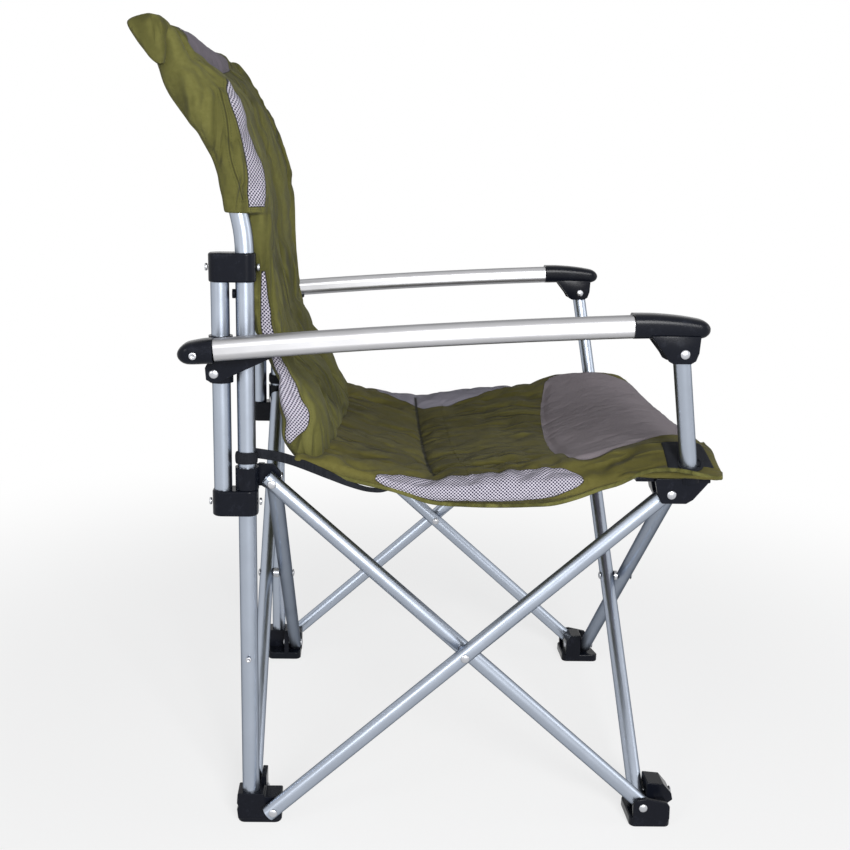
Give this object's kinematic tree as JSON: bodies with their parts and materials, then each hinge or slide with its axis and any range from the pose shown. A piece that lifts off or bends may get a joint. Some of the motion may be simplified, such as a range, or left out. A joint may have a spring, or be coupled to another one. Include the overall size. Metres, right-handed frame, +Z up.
{
  "type": "folding camp chair",
  "caption": "Quad-fold camp chair: crossed round-tube struts, padded fabric seat and high back, rigid swinging arms and moulded feet and hubs.",
  "frame": {"origin": "on the floor, under the middle of the open chair", "axes": "+Z up, the sitter faces -Y, -X is the sitter's right"},
  "size_m": [0.6764, 0.699, 0.993],
  "materials": {
    "frame_aluminium": "satin",
    "arm_aluminium": "satin",
    "black_plastic": "moulded",
    "olive_fabric": "woven polyester",
    "grey_fabric": "woven polyester",
    "mesh_fabric": "spacer mesh",
    "black_webbing": "woven webbing",
    "steel_rivet": "bright"
  },
  "bodies": {
    "right_rear_leg": {"right_rear_foot": "black_plastic", "right_rear_foot_rivets": "steel_rivet", "right_back_tube": "frame_aluminium", "right_arm_rail": "frame_aluminium", "right_lower_clamp": "black_plastic", "right_upper_clamp": "black_plastic", "right_frame_rivets": "steel_rivet", "right_hub_stop": "black_plastic", "back_pad": "olive_fabric"},
    "left_rear_leg": {"left_rear_foot": "black_plastic", "left_rear_foot_rivets": "steel_rivet", "left_back_tube": "frame_aluminium", "left_arm_rail": "frame_aluminium", "left_lower_clamp": "black_plastic", "left_upper_clamp": "black_plastic", "left_frame_rivets": "steel_rivet", "left_hub_stop": "black_plastic"},
    "right_outer_side": {"right_outer_side_strut": "frame_aluminium", "right_side_crossing_rivet": "steel_rivet"},
    "right_inner_side": {"right_inner_side_strut": "frame_aluminium"},
    "right_rear_hub": {"right_rear_hub": "black_plastic", "right_rear_hub_rivets": "steel_rivet"},
    "right_front_hub": {"right_front_hub": "black_plastic", "right_front_hub_rivets": "steel_rivet", "right_arm_post": "frame_aluminium"},
    "right_arm": {"right_arm_tube": "arm_aluminium", "right_arm_front_cap": "black_plastic", "right_arm_front_rivet": "steel_rivet", "right_arm_rear_cap": "black_plastic"},
    "right_arm_collar": {"right_arm_collar": "black_plastic", "right_collar_rivet": "steel_rivet"},
    "right_arm_bracket": {"right_arm_rear_bracket": "black_plastic"},
    "right_front_foot": {"right_front_foot": "black_plastic", "right_front_foot_rivets": "steel_rivet"},
    "left_outer_side": {"left_outer_side_strut": "frame_aluminium", "left_side_crossing_rivet": "steel_rivet"},
    "left_inner_side": {"left_inner_side_strut": "frame_aluminium"},
    "left_rear_hub": {"left_rear_hub": "black_plastic", "left_rear_hub_rivets": "steel_rivet"},
    "left_front_hub": {"left_front_hub": "black_plastic", "left_front_hub_rivets": "steel_rivet", "left_arm_post": "frame_aluminium"},
    "left_arm": {"left_arm_tube": "arm_aluminium", "left_arm_front_cap": "black_plastic", "left_arm_front_rivet": "steel_rivet", "left_arm_rear_cap": "black_plastic"},
    "left_arm_collar": {"left_arm_collar": "black_plastic", "left_collar_rivet": "steel_rivet"},
    "left_arm_bracket": {"left_arm_rear_bracket": "black_plastic"},
    "left_front_foot": {"left_front_foot": "black_plastic", "left_front_foot_rivets": "steel_rivet"},
    "front_from_right": {"front_strut_from_right": "frame_aluminium", "front_crossing_rivet": "steel_rivet"},
    "front_from_left": {"front_strut_from_left": "frame_aluminium"},
    "rear_from_right": {"rear_strut_from_right": "frame_aluminium", "rear_crossing_rivet": "steel_rivet"},
    "rear_from_left": {"rear_strut_from_left": "frame_aluminium"},
    "seat_front": {"seat_front_half": "olive_fabric"},
    "seat_rear": {"seat_rear_half": "olive_fabric"}
  },
  "joints": [
    {"name": "fold", "type": "hinge", "parent": "right_rear_leg", "child": "right_outer_side", "pos_m": [-0.2927, 0.1955, 0.027], "axis": [-1, 0, 0], "range_deg": [0, 38], "deforming": ["back_pad"]},
    {"name": "right_side_crossing", "type": "hinge", "parent": "right_outer_side", "child": "right_inner_side", "pos_m": [-0.268, -0.0425, 0.2405], "axis": [1, 0, 0], "range_deg": [0, 76.01]},
    {"name": "right_front_foot_pivot", "type": "hinge", "parent": "right_inner_side", "child": "right_front_foot", "pos_m": [-0.268, -0.2805, 0.027], "axis": [-1, 0, 0], "range_deg": [0, 38.01]},
    {"name": "right_front_hub_pivot", "type": "hinge", "parent": "right_outer_side", "child": "right_front_hub", "pos_m": [-0.2927, -0.2805, 0.454], "axis": [1, 0, 0], "range_deg": [0, 38.01]},
    {"name": "right_rear_hub_pivot", "type": "hinge", "parent": "right_inner_side", "child": "right_rear_hub", "pos_m": [-0.268, 0.1955, 0.454], "axis": [-1, 0, 0], "range_deg": [0, 38.01]},
    {"name": "front_right_foot_pivot", "type": "hinge", "parent": "right_front_foot", "child": "front_from_right", "pos_m": [-0.238, -0.2805, 0.027], "axis": [0, -1, 0], "range_deg": [0, 38.01]},
    {"name": "front_crossing", "type": "hinge", "parent": "front_from_right", "child": "front_from_left", "pos_m": [0, -0.3052, 0.2405], "axis": [0, 1, 0], "range_deg": [0, 76.01]},
    {"name": "left_front_foot_pivot", "type": "hinge", "parent": "front_from_left", "child": "left_front_foot", "pos_m": [0.238, -0.3052, 0.027], "axis": [0, -1, 0], "range_deg": [0, 38.01]},
    {"name": "left_front_hub_pivot", "type": "hinge", "parent": "front_from_right", "child": "left_front_hub", "pos_m": [0.238, -0.2805, 0.454], "axis": [0, 1, 0], "range_deg": [0, 38.01]},
    {"name": "rear_right_foot_pivot", "type": "hinge", "parent": "right_rear_leg", "child": "rear_from_right", "pos_m": [-0.238, 0.225, 0.027], "axis": [0, -1, 0], "range_deg": [0, 38.01]},
    {"name": "rear_crossing", "type": "hinge", "parent": "rear_from_right", "child": "rear_from_left", "pos_m": [0, 0.1965, 0.2405], "axis": [0, 1, 0], "range_deg": [0, 76.01]},
    {"name": "left_rear_foot_pivot", "type": "hinge", "parent": "rear_from_left", "child": "left_rear_leg", "pos_m": [0.238, 0.1965, 0.027], "axis": [0, -1, 0], "range_deg": [0, 38.01]},
    {"name": "left_rear_hub_pivot", "type": "hinge", "parent": "rear_from_right", "child": "left_rear_hub", "pos_m": [0.238, 0.225, 0.454], "axis": [0, 1, 0], "range_deg": [0, 38.01]},
    {"name": "left_side_foot_pivot", "type": "hinge", "parent": "left_rear_leg", "child": "left_outer_side", "pos_m": [0.2927, 0.1955, 0.027], "axis": [-1, 0, 0], "range_deg": [0, 38.01]},
    {"name": "left_side_crossing", "type": "hinge", "parent": "left_outer_side", "child": "left_inner_side", "pos_m": [0.268, -0.0425, 0.2405], "axis": [1, 0, 0], "range_deg": [0, 76.01]},
    {"name": "right_arm_pivot", "type": "hinge", "parent": "right_front_hub", "child": "right_arm", "pos_m": [-0.319, -0.2765, 0.6265], "axis": [-1, 0, 0], "range_deg": [0, 61.21]},
    {"name": "right_collar_slide", "type": "slide", "parent": "right_rear_leg", "child": "right_arm_collar", "axis": [0, 0, -1], "range_m": [0, 0.1306]},
    {"name": "right_bracket_pivot", "type": "hinge", "parent": "right_arm_collar", "child": "right_arm_bracket", "pos_m": [-0.297, 0.2603, 0.593], "axis": [-1, 0, 0], "range_deg": [0, 61.21]},
    {"name": "left_arm_pivot", "type": "hinge", "parent": "left_front_hub", "child": "left_arm", "pos_m": [0.319, -0.2765, 0.6265], "axis": [-1, 0, 0], "range_deg": [0, 61.21]},
    {"name": "left_collar_slide", "type": "slide", "parent": "left_rear_leg", "child": "left_arm_collar", "axis": [0, 0, -1], "range_m": [0, 0.1306]},
    {"name": "left_bracket_pivot", "type": "hinge", "parent": "left_arm_collar", "child": "left_arm_bracket", "pos_m": [0.297, 0.2603, 0.593], "axis": [-1, 0, 0], "range_deg": [0, 61.21]},
    {"name": "seat_front_droop", "type": "hinge", "parent": "right_front_hub", "child": "seat_front", "pos_m": [-0.2927, -0.2805, 0.478], "axis": [-1, 0, 0], "range_deg": [0, 76.01], "deforming": ["seat_front_half"]},
    {"name": "seat_rear_droop", "type": "hinge", "parent": "right_rear_hub", "child": "seat_rear", "pos_m": [-0.268, 0.1955, 0.478], "axis": [1, 0, 0], "range_deg": [0, 76.01], "deforming": ["seat_rear_half"]}
  ],
  "couplings": [
    {"joint": "right_side_crossing", "follows": "fold", "ratio": 2},
    {"joint": "right_front_foot_pivot", "follows": "fold", "ratio": 1},
    {"joint": "right_front_hub_pivot", "follows": "fold", "ratio": 1},
    {"joint": "right_rear_hub_pivot", "follows": "fold", "ratio": 1},
    {"joint": "front_right_foot_pivot", "follows": "fold", "ratio": 1},
    {"joint": "front_crossing", "follows": "fold", "ratio": 2},
    {"joint": "left_front_foot_pivot", "follows": "fold", "ratio": 1},
    {"joint": "left_front_hub_pivot", "follows": "fold", "ratio": 1},
    {"joint": "rear_right_foot_pivot", "follows": "fold", "ratio": 1},
    {"joint": "rear_crossing", "follows": "fold", "ratio": 2},
    {"joint": "left_rear_foot_pivot", "follows": "fold", "ratio": 1},
    {"joint": "left_rear_hub_pivot", "follows": "fold", "ratio": 1},
    {"joint": "left_side_foot_pivot", "follows": "fold", "ratio": 1},
    {"joint": "left_side_crossing", "follows": "fold", "ratio": 2},
    {"joint": "right_arm_pivot", "follows": "fold", "ratio": 1.6105},
    {"joint": "right_collar_slide", "follows": "fold", "m_per_rad": 0.19677},
    {"joint": "right_bracket_pivot", "follows": "fold", "ratio": 1.6105},
    {"joint": "left_arm_pivot", "follows": "fold", "ratio": 1.6105},
    {"joint": "left_collar_slide", "follows": "fold", "m_per_rad": 0.19677},
    {"joint": "left_bracket_pivot", "follows": "fold", "ratio": 1.6105},
    {"joint": "seat_front_droop", "follows": "fold", "ratio": 2},
    {"joint": "seat_rear_droop", "follows": "fold", "ratio": 2}
  ]
}
